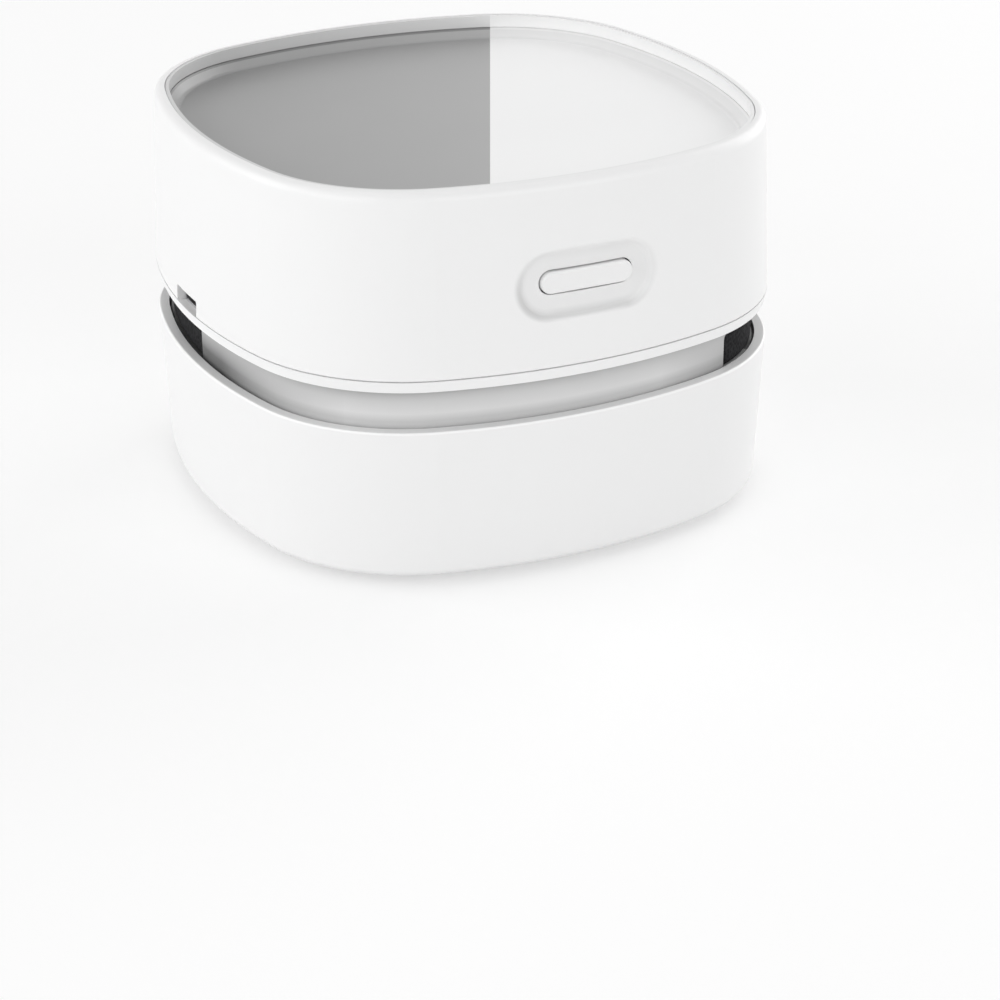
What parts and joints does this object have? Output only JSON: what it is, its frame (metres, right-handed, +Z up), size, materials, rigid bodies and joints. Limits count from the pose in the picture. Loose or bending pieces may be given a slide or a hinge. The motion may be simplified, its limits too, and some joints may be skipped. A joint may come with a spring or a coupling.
{
  "type": "desktop vacuum cleaner",
  "caption": "Small rounded-square desk vacuum with a dished top, side power button and charging port; its motor unit lifts off a dust bin with a brushed suction slot.",
  "frame": {"origin": "on the desk, under the middle of the body", "axes": "+Z up out of the dished top, -Y towards the power button, -X towards the charging port"},
  "size_m": [0.0864, 0.0864, 0.0583],
  "materials": {
    "white_body": "satin-gloss white moulding",
    "white_button": "satin white moulding",
    "two_tone_top": "smooth, light grey on one side and near white on the other",
    "inner_plastic": "plain moulding",
    "dark_plastic": "fine grained moulding",
    "bristle": "nylon bristle",
    "dark_foam": "open-cell foam",
    "soft_rubber": "matte rubber",
    "screw_steel": "zinc plated",
    "can_steel": "plated sheet",
    "bronze": "sintered bronze",
    "brass_contact": "stamped brass",
    "copper": "copper segments",
    "ferrite": "ferrite",
    "core_iron": "laminated core",
    "cell_wrap": null,
    "nickel": "nickel strip",
    "green_board": "solder-masked laminate",
    "board_part": "moulded electronic parts",
    "lead_sleeve": "sleeved lead"
  },
  "bodies": {
    "dust_bin": {"lower_shell": "white_body", "rubber_feet": "soft_rubber", "suction_duct": "dark_plastic", "bristle_tufts": "bristle", "nozzle_screws": "screw_steel"},
    "motor_unit": {"unit_base": "white_body", "fan_floor": "inner_plastic", "fan_floor_screws": "screw_steel", "bin_seal": "soft_rubber", "exhaust_foam_right": "dark_foam", "exhaust_foam_left": "dark_foam", "upper_shell": "white_body", "shell_screws": "screw_steel", "dish_rim_ring": "two_tone_top", "dish_floor": "two_tone_top", "tact_switch": "dark_plastic", "switch_board": "green_board", "switch_leads": "lead_sleeve", "motor_can": "can_steel", "lower_bearing": "bronze", "motor_end_cap": "inner_plastic", "upper_bearing": "bronze", "motor_terminals": "brass_contact", "motor_magnets": "ferrite", "motor_screws": "screw_steel", "motor_leads": "lead_sleeve", "battery_cell": "cell_wrap", "battery_cradle": "inner_plastic", "battery_tabs": "nickel", "battery_leads": "lead_sleeve", "main_board": "green_board", "board_parts": "board_part", "board_screws": "screw_steel", "charging_socket": "can_steel", "socket_insulator": "dark_plastic"},
    "filter": {"filter_frame": "dark_plastic", "filter_foam": "dark_foam"},
    "power_button": {"power_button": "white_button", "switch_plunger": "dark_plastic"},
    "rotor": {"motor_shaft": "screw_steel", "motor_armature": "core_iron", "commutator": "copper", "impeller": "inner_plastic", "push_nut": "screw_steel"}
  },
  "joints": [
    {"name": "unit_lift", "type": "slide", "parent": "dust_bin", "child": "motor_unit", "axis": [0, 0, 1], "range_m": [0, 0.03]},
    {"name": "filter_pull", "type": "slide", "parent": "motor_unit", "child": "filter", "axis": [0, 0, -1], "range_m": [0, 0.0045]},
    {"name": "button_press", "type": "slide", "parent": "motor_unit", "child": "power_button", "axis": [0, 1, 0], "range_m": [0, 0.0008], "stiffness_N_per_m": 1500},
    {"name": "rotor_spin", "type": "hinge", "parent": "motor_unit", "child": "rotor", "pos_m": [0, 0, 0.04], "axis": [0, 0, 1], "continuous": true}
  ]
}
